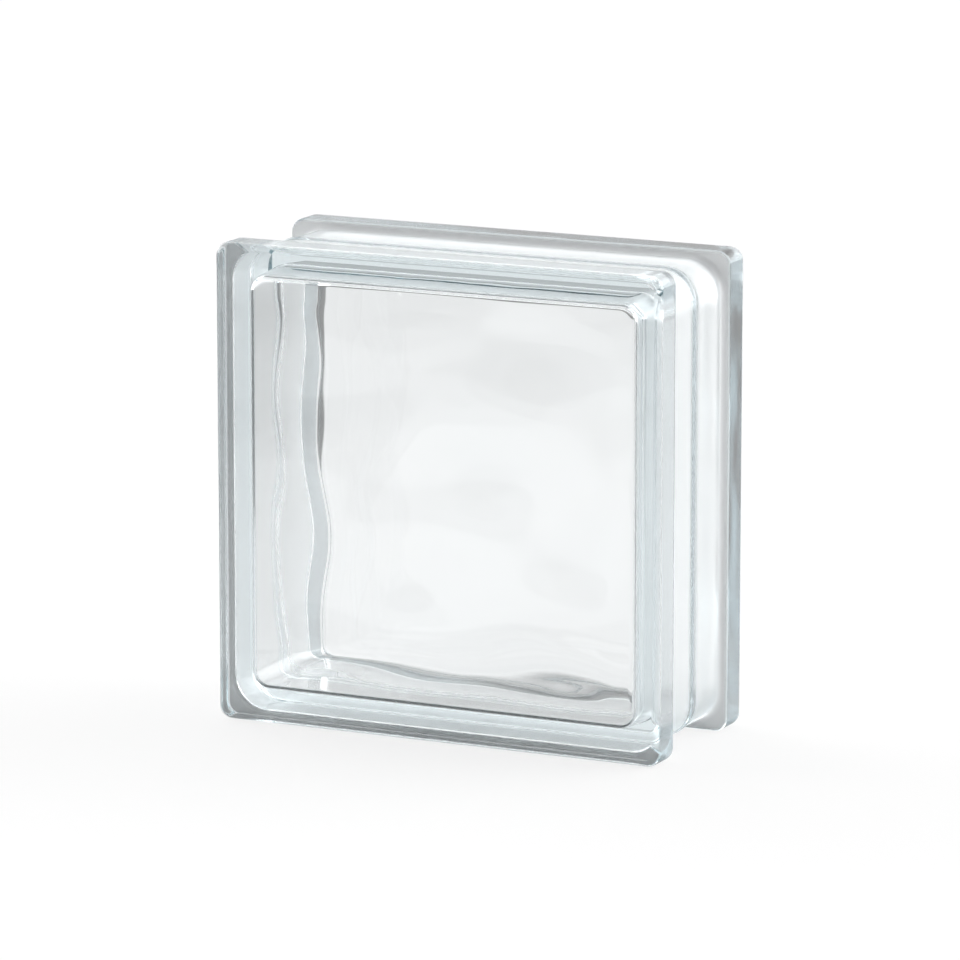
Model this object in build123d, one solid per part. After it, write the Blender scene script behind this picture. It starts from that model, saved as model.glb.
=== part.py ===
from build123d import *
from math import ceil, cos, pi, radians, sin, tan
import os

# Hollow glass building block: two like pressed-glass halves, fused edge to edge round a sealed hollow.
# Millimetres. +Z up, the front face towards -Y, the origin in the middle of the underside.

# Overall size
width = 190.0
height = 190.0
thickness = 80.0

# Outside: a flat-edged lip borders each face, and a shallow mortar groove with sloping flanks runs round
# between the two lips
lip_width = 14.5
lip_corner_radius = 5.5
lip_edge_height = 1.2
lip_edge_chamfer = 0.8
face_edge_radius = 3.0
groove_depth = 3.5
groove_corner_radius = 13.0

# Inside: the hollow narrows from the seam towards each pane, as the press plunger leaves it
wall_thickness = 7.5
plunger_draft = 2.8
hollow_corner_radius = 8.5
hollow_root_radius = 3.0
pane_thickness = 9.0

# The seam swells a little on both sides of the wall, where the hot edges were pushed together
bead_height = 0.6
bead_width = 4.0
bead_root = 1.0

# Waves pressed into the inside of each pane: height, crest spacing, heading from +X, shift of the crests.
# They fade out before the flat border that frames them.
wave_trains = (
    (0.53, 63.0, 66.0, -80.5),
    (0.47, 70.7, -18.3, -64.8),
    (0.23, 40.5, -75.4, 60.7),
    (0.16, 51.0, 45.8, 131.5),
)
wave_border = 2.0
wave_fade = 12.0
wave_sample_spacing = 8.0

half_thickness = thickness / 2
groove_width_x = width - 2 * groove_depth
groove_width_z = height - 2 * groove_depth
groove_flank = groove_depth - lip_edge_height
hollow_width_x = groove_width_x - 2 * wall_thickness
hollow_width_z = groove_width_z - 2 * wall_thickness
hollow_depth = half_thickness - pane_thickness
pane_margin = hollow_depth * tan(radians(plunger_draft)) + hollow_root_radius + wave_border
wave_field_x = hollow_width_x - 2 * pane_margin
wave_field_z = hollow_width_z - 2 * pane_margin


def slab(size_x, size_z, corner_radius, start, depth):
    """A rounded square standing in the XZ plane, run forward (towards -Y) from `start`."""
    outline = Plane.XZ.offset(start) * RectangleRounded(size_x, size_z, corner_radius)
    return extrude(outline, amount=depth)


def fade(to_edge):
    """0 at the edge of the wave field, rising smoothly to 1 at `wave_fade` inside it."""
    t = min(max(to_edge, 0.0) / wave_fade, 1.0)
    return t * t * (3 - 2 * t)


def wave_height(x, z):
    """How far the pressed waves stand out from the level of the pane's inner surface."""
    total = 0.0
    for crest, spacing, heading, shift in wave_trains:
        along = x * cos(radians(heading)) + z * sin(radians(heading))
        total += crest * cos(2 * pi * along / spacing + radians(shift))
    return total * fade(wave_field_x / 2 - abs(x)) * fade(wave_field_z / 2 - abs(z))


def wave_surface():
    """The wavy field of the front pane's inner surface, level along its four straight sides."""
    columns = ceil(wave_field_x / wave_sample_spacing)
    rows = ceil(wave_field_z / wave_sample_spacing)
    points = []
    for row in range(rows + 1):
        z = wave_field_z * (row / rows - 0.5)
        line = []
        for column in range(columns + 1):
            x = wave_field_x * (column / columns - 0.5)
            line.append((x, wave_height(x, z) - hollow_depth, z))
        points.append(line)
    return Face.make_surface_from_array_of_points(points)


def outer_half():
    """The outside of the front half: the core under the groove, with the lip round the face."""
    core = slab(groove_width_x, groove_width_z, groove_corner_radius, 0, half_thickness)
    lip_start = half_thickness - lip_width
    lip = slab(width, height, lip_corner_radius, lip_start, lip_width)
    body = core + lip
    lip_back = body.faces().filter_by(Axis.Y).group_by(Axis.Y)[1][0]
    body = chamfer(lip_back.inner_wires()[0].edges(), groove_flank)
    lip_back = body.faces().filter_by(Axis.Y).group_by(Axis.Y)[1][0]
    body = chamfer(lip_back.outer_wire().edges(), lip_edge_chamfer)
    face = body.faces().sort_by(Axis.Y)[0]
    return fillet(face.outer_wire().edges(), face_edge_radius)


def hollow_half():
    """The front half of the hollow, as the plunger leaves it: drafted, with a rounded, wavy end."""
    plunger = slab(hollow_width_x, hollow_width_z, hollow_corner_radius, 0, hollow_depth)
    sides = plunger.faces().filter_by(Axis.Y, reverse=True)
    plunger = draft(sides, Plane.XZ, plunger_draft)
    plunger = fillet(plunger.faces().sort_by(Axis.Y)[0].edges(), hollow_root_radius)
    end = plunger.faces().sort_by(Axis.Y)[0]
    waves = wave_surface()
    border = Face(end.outer_wire(), [waves.outer_wire()])
    others = plunger.faces().sort_by(Axis.Y)[1:]
    return Solid(Shell([*others, border, waves]))


def seam_bead(size_x, size_z, corner_radius, outward):
    """A low round bead along the seam, on a wall surface of the given size and corner radius."""
    path = (Plane.XZ * RectangleRounded(size_x, size_z, corner_radius)).face().outer_wire()
    root = -bead_root * outward
    crown = bead_height * outward
    side = bead_width / 2
    section = make_face([
        Polyline((root, -side), (0, -side)),
        ThreePointArc((0, -side), (crown, 0), (0, side)),
        Polyline((0, side), (root, side), (root, -side)),
    ])
    start = path @ 0
    across = Vector(0, 1, 0).cross(path % 0)
    if across.dot(start) < 0:
        across = -across
    return sweep(Plane(origin=start, x_dir=across, z_dir=path % 0) * section, path=path)


def glass_block():
    front = outer_half() - hollow_half()
    rear = front.rotate(Axis.Z, 180)
    block = front + rear
    block += seam_bead(groove_width_x, groove_width_z, groove_corner_radius, 1)
    block += seam_bead(hollow_width_x, hollow_width_z, hollow_corner_radius, -1)
    return Pos(0, 0, height / 2) * block


os.makedirs("parts", exist_ok=True)
export_step(glass_block(), "parts/glass_block.step")
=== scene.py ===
# %% [markdown]
# # A hollow glass building block
# The real block is pressed from hot glass as two like dishes, whose rims are melted together while they
# still glow. What is left is one piece of glass with a sealed room of thin air inside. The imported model
# gives its size and place. This lesson gives it a smooth skin that bends light, a glass to bend it, and a
# plain white studio to show it in.

from math import cos, pi, radians, sin, tan

import bmesh
import bpy
from mathutils import Matrix, Vector


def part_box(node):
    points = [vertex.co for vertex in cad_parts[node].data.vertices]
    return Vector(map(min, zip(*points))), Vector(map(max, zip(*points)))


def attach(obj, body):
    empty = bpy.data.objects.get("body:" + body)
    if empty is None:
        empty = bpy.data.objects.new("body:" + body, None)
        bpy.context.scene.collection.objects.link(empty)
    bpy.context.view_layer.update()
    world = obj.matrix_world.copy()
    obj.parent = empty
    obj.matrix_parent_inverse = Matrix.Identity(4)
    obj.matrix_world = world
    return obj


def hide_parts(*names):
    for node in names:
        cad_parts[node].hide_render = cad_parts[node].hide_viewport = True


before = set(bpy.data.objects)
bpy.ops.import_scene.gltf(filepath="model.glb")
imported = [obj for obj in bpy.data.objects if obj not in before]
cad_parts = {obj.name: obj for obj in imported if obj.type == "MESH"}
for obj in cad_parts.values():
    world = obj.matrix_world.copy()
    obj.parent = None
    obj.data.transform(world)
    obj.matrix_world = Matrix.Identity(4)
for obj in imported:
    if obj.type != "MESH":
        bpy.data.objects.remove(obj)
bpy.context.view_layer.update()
block_low, block_high = (Vector(corner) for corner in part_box("glass_block"))
block_middle = (block_low + block_high) / 2
half_width, half_thickness, half_height = (block_high - block_low) / 2
scene = bpy.context.scene
print("block", [round(2000 * half, 1) for half in (half_width, half_thickness, half_height)], "mm")

# %% [markdown]
# ## The camera
# The upright edges of the block stay almost parallel in the photograph, so it was taken with a long lens
# from well back. The camera stands a little to the right of the face and a little above it, because the
# right side and the top both show.

# %% Stand the camera where the photograph was taken from
view_turn = radians(25.8)
view_rise = radians(11.6)
view_distance = 2.418
towards_camera = Vector((sin(view_turn) * cos(view_rise), -cos(view_turn) * cos(view_rise), sin(view_rise)))

long_lens = bpy.data.cameras.new("long_lens")
long_lens.lens = 232.5
long_lens.sensor_width = 36.0
long_lens.shift_x = 0.001
long_lens.shift_y = 0.0046
camera = bpy.data.objects.new("camera", long_lens)
camera.location = block_middle + view_distance * towards_camera
camera.rotation_euler = towards_camera.to_track_quat("Z", "Y").to_euler()
scene.collection.objects.link(camera)
scene.camera = camera
print("camera at", [round(v, 3) for v in camera.location])

# %% [markdown]
# ## The section of the glass
# A cut through the rim of the block shows everything that bends light: the lip round each face with its
# rounded arris, the mortar groove between the lips, the bead where the two halves were melted together,
# the wall, and the room inside with its rounded root. Each line of the section is a level: how far
# forward of the seam it lies, how far inside the block's outline, and how round its corners are there.
# Writing the section as levels keeps the two halves alike, because the rear half is the same list turned
# round.

# %% Sizes of the section, in metres
lip_width = 0.0145
lip_corner = 0.0055
lip_edge_height = 0.0012
lip_edge_round = 0.0008
face_edge_round = 0.003
groove_depth = 0.0035
groove_corner = 0.013
wall_thickness = 0.0075
hollow_corner = 0.0085
hollow_root = 0.003
hollow_taper = tan(radians(2.8))
pane_thickness = 0.009
bead_height = 0.0006
bead_width = 0.004

hollow_inset = groove_depth + wall_thickness
hollow_depth = half_thickness - pane_thickness
lip_back = half_thickness - lip_width
groove_flank = groove_depth - lip_edge_height
flank_start = lip_back - groove_flank
print("groove floor", round(2000 * flank_start, 1), "mm wide")
print("hollow", round(2000 * hollow_depth, 1), "mm deep")

# %% [markdown]
# ## The section as a list of levels
# Only half of the section is written down, from the seam in the middle to the front face. Each rounding
# is a quarter of a circle and the seam's bead is a low arch, so two small helpers give all their levels.
# The real mould is cut from the same few straight lines and roundings. Bevels on a plain block would be
# another way, but several roundings this close together run into each other.

# %% Helpers for the bead and the roundings
def steps(count):
    """Even steps from 0 to 1, both ends included."""
    return [step / count for step in range(count + 1)]


bead_steps = 5


def bead(inset, corner, outward):
    """Half of the seam's low round bead, on a wall at this inset."""
    levels = []
    for along in steps(bead_steps):
        swell = outward * bead_height * (1 - along * along)
        levels.append((along * bead_width / 2, inset - swell, corner + swell))
    return levels


def quarter(radius, centre, signs, starts_forward, count):
    """A quarter-round seen in the section, as pairs of forward and inset."""
    points = []
    for along in steps(count):
        ahead, aside = sin(along * pi / 2), cos(along * pi / 2)
        if starts_forward:
            ahead, aside = aside, ahead
        points.append((centre[0] + signs[0] * radius * ahead, centre[1] + signs[1] * radius * aside))
    return points


print("levels in half a bead", len(bead(groove_depth, groove_corner, 1)))

# %% Levels of the outside and of the hollow
seam_fade_end = 0.005     # a line on the groove's floor, where the finish of the seam has faded out
outside = bead(groove_depth, groove_corner, 1)
outside.append((seam_fade_end, groove_depth, groove_corner))
for forward, inset in quarter(groove_flank, (flank_start, lip_edge_height), (1, 1), False, 7):
    outside.append((forward, inset, groove_corner + groove_depth - inset))
lip_back_centre = (lip_back + lip_edge_round, lip_edge_round)
for forward, inset in quarter(lip_edge_round, lip_back_centre, (-1, -1), True, 5):
    outside.append((forward, inset, lip_corner - inset))
face_edge_centre = (half_thickness - face_edge_round, face_edge_round)
for forward, inset in quarter(face_edge_round, face_edge_centre, (1, -1), False, 9):
    outside.append((forward, inset, lip_corner - inset))

hollow = bead(hollow_inset, hollow_corner, -1)
root_start = hollow_depth - hollow_root
root_inset = hollow_inset + root_start * hollow_taper
for forward, inset in quarter(hollow_root, (root_start, root_inset + hollow_root), (1, -1), False, 12):
    hollow.append((forward, inset, hollow_corner + hollow_inset - inset))
print("levels in half of the outside", len(outside), "and of the hollow", len(hollow))

# %% [markdown]
# ## From levels to a skin
# Each level becomes a rounded rectangle: a square of one face is stood upright at the level's place, and
# its four corners are bevelled. Bridging each rectangle to the next covers the section all the way round,
# like the ribs and planks of a boat. A subdivided cube could be pushed into this shape too, but then the
# small roundings that catch the light would not be at their true size.

# %% Stretch a skin over the levels
corner_segments = 12


def rounded_rectangle(skin, forward, inset, corner):
    """The face of one level, standing across Y."""
    stand = Matrix((
        (half_width - inset, 0, 0, block_middle.x),
        (0, 0, 1, block_middle.y - forward),
        (0, half_height - inset, 0, block_middle.z),
        (0, 0, 0, 1),
    ))
    square = bmesh.ops.create_grid(skin, x_segments=1, y_segments=1, size=1, matrix=stand)
    rounded = bmesh.ops.bevel(
        skin, geom=square["verts"], offset=corner, offset_type="OFFSET", affect="VERTICES",
        segments=corner_segments, profile=0.5, material=-1,
    )
    return rounded["verts"][0].link_faces[0]


def stretch_skin(half_section):
    """A closed skin over a half section and the same half turned round behind the seam."""
    turned_half = [(-forward, inset, corner) for forward, inset, corner in reversed(half_section[1:])]
    skin = bmesh.new()
    ribs = [rounded_rectangle(skin, *level) for level in turned_half + half_section]
    for rib, next_rib in zip(ribs, ribs[1:]):
        bmesh.ops.bridge_loops(skin, edges=rib.edges[:] + next_rib.edges[:])
    bmesh.ops.delete(skin, geom=ribs[1:-1], context="FACES_ONLY")
    bmesh.ops.recalc_face_normals(skin, faces=skin.faces)
    return skin


outer_skin = stretch_skin(outside)
hollow_skin = stretch_skin(hollow)
print("outer skin", len(outer_skin.faces), "faces, hollow skin", len(hollow_skin.faces), "faces")

# %% [markdown]
# ## Where the glass is not clear
# The groove that takes the mortar has a thin white finish for grip, dense on its flanks and thin on its
# floor. The mould leaves the edges of the lips and the melted seam a little rough, and painted shade makes
# them grey. Each point of the skin keeps three numbers: how white, how frosted and how grey with painted
# shade the glass is there. Painted masks could hold them too, but numbers on the levels of the section end
# each finish exactly where the shape turns.

# %% Mark the finishes and the painted shade on the outer skin
rounding_room = 1e-6
finishes = (     # how far from the seam each one reaches, then how white, frosted and grey it is
    # The grey of the seam's bead and of the lip lands is painted shade.
    (bead_width / 2, 0.0, 0.15, 1.0),
    (flank_start, 0.32, 0.5, 0.0),
    (lip_back, 1.0, 0.35, 0.0),
    (half_thickness - face_edge_round, 0.18, 0.2, 0.95),
)
marks = [outer_skin.verts.layers.float.new(name) for name in ("groove_white", "edge_frost", "painted_edge_shade")]


def finish_at(from_seam):
    """The strengths of the first finish that reaches this far; the face itself has none."""
    for reach, *strengths in finishes:
        if from_seam < reach + rounding_room:
            return strengths
    return [0.0] * len(marks)


for vert in outer_skin.verts:
    for mark, strength in zip(marks, finish_at(abs(vert.co.y - block_middle.y))):
        vert[mark] = strength
print("points marked", len(outer_skin.verts))

# %% [markdown]
# ## The waves pressed into the panes
# The end of the press plunger is wavy, so the inside of each pane is too, and that is what blurs the view
# through the block. The waves are four crossing trains that fade out before the flat border of the pane.
# The hollow's flat ends are cut into small squares by planes, and each corner of a square is moved to its
# place on the wave. A displacement texture could do it, but the cut squares keep the border straight. The
# two halves come from one mould, so the rear pane has the front pane's waves, turned half a turn.

# %% The shape of the waves
wave_trains = (     # height of the crests, spacing, heading and shift of each
    (0.00053, 0.0630, radians(66.0), radians(-80.5)),
    (0.00047, 0.0707, radians(-18.3), radians(-64.8)),
    (0.00023, 0.0405, radians(-75.4), radians(60.7)),
    (0.00016, 0.0510, radians(45.8), radians(131.5)),
)
wave_border = 0.002
wave_fade = 0.012
pane_inset = hollow_inset + hollow_depth * hollow_taper + hollow_root + wave_border
wave_field = Vector((half_width - pane_inset, half_height - pane_inset))


def fade(to_edge):
    """0 at the edge of the wave field, rising smoothly to 1 inside it."""
    rise = min(max(to_edge, 0.0) / wave_fade, 1.0)
    return rise * rise * (3 - 2 * rise)


def wave_height(x, z):
    """How far the waves stand out from the level of the pane's inner surface."""
    total = 0.0
    for crest, spacing, heading, shift in wave_trains:
        along = x * cos(heading) + z * sin(heading)
        total += crest * cos(2 * pi * along / spacing + shift)
    return total * fade(wave_field.x - abs(x)) * fade(wave_field.y - abs(z))


print("wave in the middle of the pane", round(1000 * wave_height(0, 0), 2), "mm")

# %% Cut the panes into squares and press the waves
strip_width = 0.002


def cut_into_strips(skin, axis, reach):
    """Cut the skin straight across, every strip_width, as far as reach each side of its middle."""
    count = int(reach / strip_width)
    for strip in range(-count, count + 1):
        everything = skin.verts[:] + skin.edges[:] + skin.faces[:]
        bmesh.ops.bisect_plane(
            skin, geom=everything, dist=0.1 * rounding_room,
            plane_co=block_middle + strip * strip_width * axis, plane_no=axis,
        )


cut_into_strips(hollow_skin, Vector((1, 0, 0)), half_width - hollow_inset - hollow_corner)
cut_into_strips(hollow_skin, Vector((0, 0, 1)), half_height - hollow_inset - hollow_corner)
for vert in hollow_skin.verts:
    across, back, up = vert.co - block_middle
    if back < -hollow_depth + rounding_room:
        vert.co.y += wave_height(across, up)
    elif back > hollow_depth - rounding_room:
        vert.co.y -= wave_height(-across, up)
bmesh.ops.reverse_faces(hollow_skin, faces=hollow_skin.faces)
print("hollow skin with waves", len(hollow_skin.faces), "faces")

# %% [markdown]
# ## One piece of glass
# Both skins go into one mesh: the outer one faces out and the hollow's faces into the hollow, so that
# what lies between them is glass. Smooth shading lets light bend as it would on a true curve, and
# weighted normals keep the flat parts flat beside the small roundings.

# %% Join the two skins
block_mesh = bpy.data.meshes.new("clear_block")
hollow_skin.to_mesh(block_mesh)
outer_skin.from_mesh(block_mesh)
for face in outer_skin.faces:
    face.smooth = True
outer_skin.to_mesh(block_mesh)
outer_skin.free()
hollow_skin.free()

clear_block = bpy.data.objects.new("clear_block", block_mesh)
scene.collection.objects.link(clear_block)
even_light = clear_block.modifiers.new("flat stays flat", "WEIGHTED_NORMAL")
even_light.weight = 100
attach(clear_block, "root")
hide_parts("glass_block")
print("block mesh", len(block_mesh.polygons), "faces")

# %% [markdown]
# ## Shader maths as expressions
# Node trees are easier to read as sums than as boxes and wires. A Signal is a socket that can be added
# and multiplied like a number, and each sum adds its Math node to the tree.

# %% Signals
class Signal:
    """A shader socket that takes part in sums."""

    def __init__(self, tree, socket):
        self.tree = tree
        self.socket = socket

    def math(self, operation, first, second):
        return self.tree.node("ShaderNodeMath", {"operation": operation}, {0: first, 1: second})["Value"]

    def __add__(self, other):
        return self.math("ADD", self, other)

    def __sub__(self, other):
        return self.math("SUBTRACT", self, other)

    def __rsub__(self, other):
        return self.math("SUBTRACT", other, self)

    def __mul__(self, other):
        return self.math("MULTIPLY", self, other)

    def __abs__(self):
        return self.math("ABSOLUTE", self, 0.0)

    def at_least(self, other):
        return self.math("MAXIMUM", self, other)

    __radd__ = __add__
    __rmul__ = __mul__


print("signals can be added, subtracted, multiplied and compared")

# %% Node trees
class NodeTree:
    """The nodes of a material or a world, made one call at a time."""

    def __init__(self, owner):
        owner.use_nodes = True
        self.nodes = owner.node_tree.nodes
        self.links = owner.node_tree.links
        self.nodes.clear()

    def node(self, kind, settings=None, sockets=None):
        """A node with its settings made and its sockets filled; gives back its outputs by name."""
        made = self.nodes.new(kind)
        for name, value in (settings or {}).items():
            setattr(made, name, value)
        for name, value in (sockets or {}).items():
            if isinstance(value, Signal):
                self.links.new(value.socket, made.inputs[name])
            else:
                made.inputs[name].default_value = value
        return {output.name: Signal(self, output) for output in made.outputs if output.enabled}


print("node trees ready")

# %% [markdown]
# ## Clear pressed glass
# Window glass and block glass are nearly the same: clear, with a faint cool tint that only shows where
# light runs a long way through it, as along the walls. The tint is in the volume, so thin panes stay
# clear and thick edges go grey-green by themselves. Pressed glass is never as flat as rolled glass: where
# the hot glass met the mould, the skin keeps a slight, broad unevenness, which a faint bump gives.

# %% Clear glass, frosted where it was marked and greyed there with painted shade
clear_glass = bpy.data.materials.new("clear_pressed_glass")
glass = NodeTree(clear_glass)
white = (1.0, 1.0, 1.0, 1.0)
painted_shade_grey = (0.50, 0.56, 0.59, 1.0)
glass_index = 1.52
most_haze = 0.02
place = glass.node("ShaderNodeTexCoord")["Object"]


def marked(name):
    """How strong a finish is here, as it was marked on the skin."""
    return glass.node("ShaderNodeAttribute", {"attribute_name": name})["Fac"]


chill_ripple = glass.node("ShaderNodeTexNoise", None, {
    "Vector": place, "Scale": 45.0, "Detail": 1.0,
})["Fac"]
uneven_skin = glass.node("ShaderNodeBump", None, {
    "Strength": 0.06, "Distance": 0.001, "Height": chill_ripple,
})
handling_haze = glass.node("ShaderNodeTexNoise", None, {
    "Vector": place, "Scale": 18.0, "Detail": 3.0,
})["Fac"]
# Painted shade: the marked seam and lip lands tint the glass grey.
painted_shade_tone = glass.node("ShaderNodeMix", {"data_type": "RGBA"}, {
    "Factor": marked("painted_edge_shade"), "A": white, "B": painted_shade_grey,
})["Result"]
bare_glass = glass.node("ShaderNodeBsdfPrincipled", None, {
    "Base Color": painted_shade_tone,
    "Roughness": most_haze * handling_haze + marked("edge_frost"),
    "Transmission Weight": 1.0,
    "IOR": glass_index,
    "Normal": uneven_skin["Normal"],
})
print("glass nodes", len(glass.nodes))

# %% [markdown]
# ## The white finish of the groove
# The finish is a matt white that lets a little light through. Where light inside the glass meets the skin
# at a flat angle it is mirrored before it can reach the white, and that is why a bright band shows in the
# left rim. A Fresnel node knows that angle, so the white only gets the share that is not mirrored. A
# plain mix would be simpler, but it makes the rim dull.

# %% Lay the white over the glass and tint the depth
white_coat = glass.node("ShaderNodeBsdfPrincipled", None, {
    "Base Color": (0.94, 0.96, 0.97, 1.0),
    "Roughness": 0.8,
    "Transmission Weight": 0.1,
    "IOR": glass_index,
})
mirrored = glass.node("ShaderNodeFresnel", None, {"IOR": glass_index})["Fac"]
coated_glass = glass.node("ShaderNodeMixShader", None, {
    0: marked("groove_white") * (1 - mirrored), 1: bare_glass["BSDF"], 2: white_coat["BSDF"],
})
cool_depth = glass.node("ShaderNodeVolumeAbsorption", None, {
    "Color": (0.46, 0.67, 0.73, 1.0), "Density": 5.0,
})
glass.node("ShaderNodeOutputMaterial", None, {
    "Surface": coated_glass["Shader"], "Volume": cool_depth["Volume"],
})
block_mesh.materials.append(clear_glass)
print("material", clear_glass.name, "on", clear_block.name)

# %% [markdown]
# ## The floor and its sheet of white paper
# Glass shows its surroundings, so its look is made by the studio. In an all-white room it would hardly
# show at all. The block stands on a white floor, and what it bends and mirrors is a sheet of white paper
# that ends a little way off, with greyer floor past it: some of the dark lines in the glass are that
# edge, bent. The camera itself sees plain white. A sheet with edges of its own would do the same, but
# then they would be in the picture.

# %% Lay the floor
floor_reach = 8.0
floor_gap = 0.0003
floor_mesh = bpy.data.meshes.new("floor")
flat_floor = bmesh.new()
bmesh.ops.create_grid(flat_floor, x_segments=1, y_segments=1, size=floor_reach)
flat_floor.to_mesh(floor_mesh)
flat_floor.free()
floor = bpy.data.objects.new("floor", floor_mesh)
floor.location.z = block_low.z - floor_gap
scene.collection.objects.link(floor)
print("floor", 2 * floor_reach, "m square")

# %% Shade the paper, with painted light and shadow through glass
white_floor = bpy.data.materials.new("white_floor")
paper = NodeTree(white_floor)
spot = paper.node("ShaderNodeSeparateXYZ", None, {"Vector": paper.node("ShaderNodeTexCoord")["Object"]})


def fading(across, full, gone):
    """1 as far as full, then falling smoothly to 0 at gone."""
    return paper.node("ShaderNodeMapRange", {"interpolation_type": "SMOOTHSTEP"}, {
        "Value": across, "From Min": gone, "From Max": full, "To Min": 0.0, "To Max": 1.0,
    })["Result"]


left_slant = 0.25
paper_left = fading(spot["X"] + left_slant * spot["Y"], -0.43, -0.53)
paper_right = fading(spot["X"], 0.8, 0.9)
paper_front = fading(spot["Y"], -0.3, -1.2)
paper_back = fading(spot["Y"], 1.4, 2.8)
paper_sheet = paper_left * paper_right * paper_front * paper_back
beside_block = abs(spot["X"]) - half_width
before_block = abs(spot["Y"]) - half_thickness
# Painted shadow: through glass the paper glows less under the block.
outside_painted_shadow = fading(beside_block.at_least(before_block), 0.01, -0.005)
# Painted light: the paper glows brighter to the left and in a pool at the front left.
painted_light_left = fading(spot["X"], 0.24, 0.34)
painted_light_pool = fading(spot["X"], -0.12, -0.02) * fading(spot["Y"], 0.0, 0.10)
# Painted light under the groove, between the lips that stand on the paper.
painted_light_under_groove = fading(before_block + half_thickness, 0.020, 0.0255)
print("paper nodes", len(paper.nodes))

# %% [markdown]
# ## How bright the paper looks
# Through glass, the paper glows with painted light and shade that its place gives it: painted light to
# the left of the block and in a pool at its front left, a painted shadow under the lips that stand on it,
# and painted light again under the groove, where light would get in from both ends. To the camera it is
# plain white. A fifth of it stays ordinary lit paper, which keeps the shadow of the block.

# %% Mix the painted glow of the paper with lit paper that keeps its shadow
bare_floor_tone = 0.10
right_tone = 0.42
painted_left_light_gain = 0.38
painted_pool_light_gain = 0.3
painted_groove_glow = 0.8
glow_share = 0.8
floor_rays = paper.node("ShaderNodeLightPath")
to_camera = floor_rays["Is Camera Ray"]
seen = to_camera.at_least(floor_rays["Is Transmission Ray"]).at_least(floor_rays["Is Glossy Ray"])
# Painted light and painted shadow, added up into how bright the paper glows through glass.
paper_tone_with_painted_light = right_tone + painted_left_light_gain * painted_light_left + painted_pool_light_gain * painted_light_pool
painted_light_and_shadow_tone = paper_tone_with_painted_light * outside_painted_shadow + painted_groove_glow * painted_light_under_groove * (1 - outside_painted_shadow)
glow_with_painted_light = to_camera + (1 - to_camera) * (bare_floor_tone + paper_sheet * painted_light_and_shadow_tone)
lit_paper = paper.node("ShaderNodeBsdfDiffuse", None, {"Color": (0.9, 0.9, 0.9, 1.0)})
glow = paper.node("ShaderNodeEmission", None, {"Color": white, "Strength": glow_with_painted_light})
floor_look = paper.node("ShaderNodeMixShader", None, {
    0: glow_share * seen, 1: lit_paper["BSDF"], 2: glow["Emission"],
})
paper.node("ShaderNodeOutputMaterial", None, {"Surface": floor_look["Shader"]})
floor_mesh.materials.append(white_floor)
print("material", white_floor.name, "on", floor.name)

# %% [markdown]
# ## Softboxes
# The light comes from big soft lamps round the block, strongest from both sides, because the sides of the
# groove are the brightest parts in the photograph. They are drawn on the sky of the world as soft round
# patches. Area lamps would light the block as well, but their hard edges would show in the glass. Behind
# it all, the camera sees a white backdrop.

# %% Hang the softboxes
softboxes = (     # turn from the right towards the back, rise and spread in degrees, and strength
    (20, 20, 45, 2.6),
    (45, 15, 45, 2.6),
    (90, 35, 75, 0.8),
    (135, 40, 40, 1.0),
    (180, 0, 60, 4.6),
)
studio = bpy.data.worlds.new("white_studio")
scene.world = studio
air = NodeTree(studio)
heading = air.node("ShaderNodeTexCoord")["Generated"]


def softbox(turn, rise, spread, strength):
    """A big soft light: full in its middle, fading to nothing at its spread."""
    aim = Vector((cos(turn) * cos(rise), sin(turn) * cos(rise), sin(rise)))
    facing = air.node("ShaderNodeVectorMath", {"operation": "DOT_PRODUCT"}, {0: heading, 1: aim})["Value"]
    return air.node("ShaderNodeMapRange", {"interpolation_type": "SMOOTHSTEP"}, {
        "Value": facing, "From Min": cos(spread), "From Max": 1.0, "To Min": 0.0, "To Max": strength,
    })["Result"]


studio_light = 0
for turn, rise, spread, strength in softboxes:
    studio_light = studio_light + softbox(radians(turn), radians(rise), radians(spread), strength)
room = air.node("ShaderNodeBackground", None, {"Color": white, "Strength": studio_light})
backdrop = air.node("ShaderNodeBackground", None, {"Color": white, "Strength": 1.0})
air_rays = air.node("ShaderNodeLightPath")
around = air.node("ShaderNodeMixShader", None, {
    0: air_rays["Is Camera Ray"], 1: room["Background"], 2: backdrop["Background"],
})
air.node("ShaderNodeOutputWorld", None, {"Surface": around["Shader"]})
print("softboxes", len(softboxes))

# %% [markdown]
# ## Many bounces
# A ray that enters the rim of the block is mirrored inside it again and again before it leaves. The usual
# number of bounces would cut it short and leave black corners, so the scene allows more.

# %% Let light run on inside the glass
scene.view_settings.view_transform = "Standard"
scene.cycles.max_bounces = 32
scene.cycles.transmission_bounces = 32
scene.cycles.glossy_bounces = 16
scene.cycles.diffuse_bounces = 16
print("bounces", scene.cycles.max_bounces)
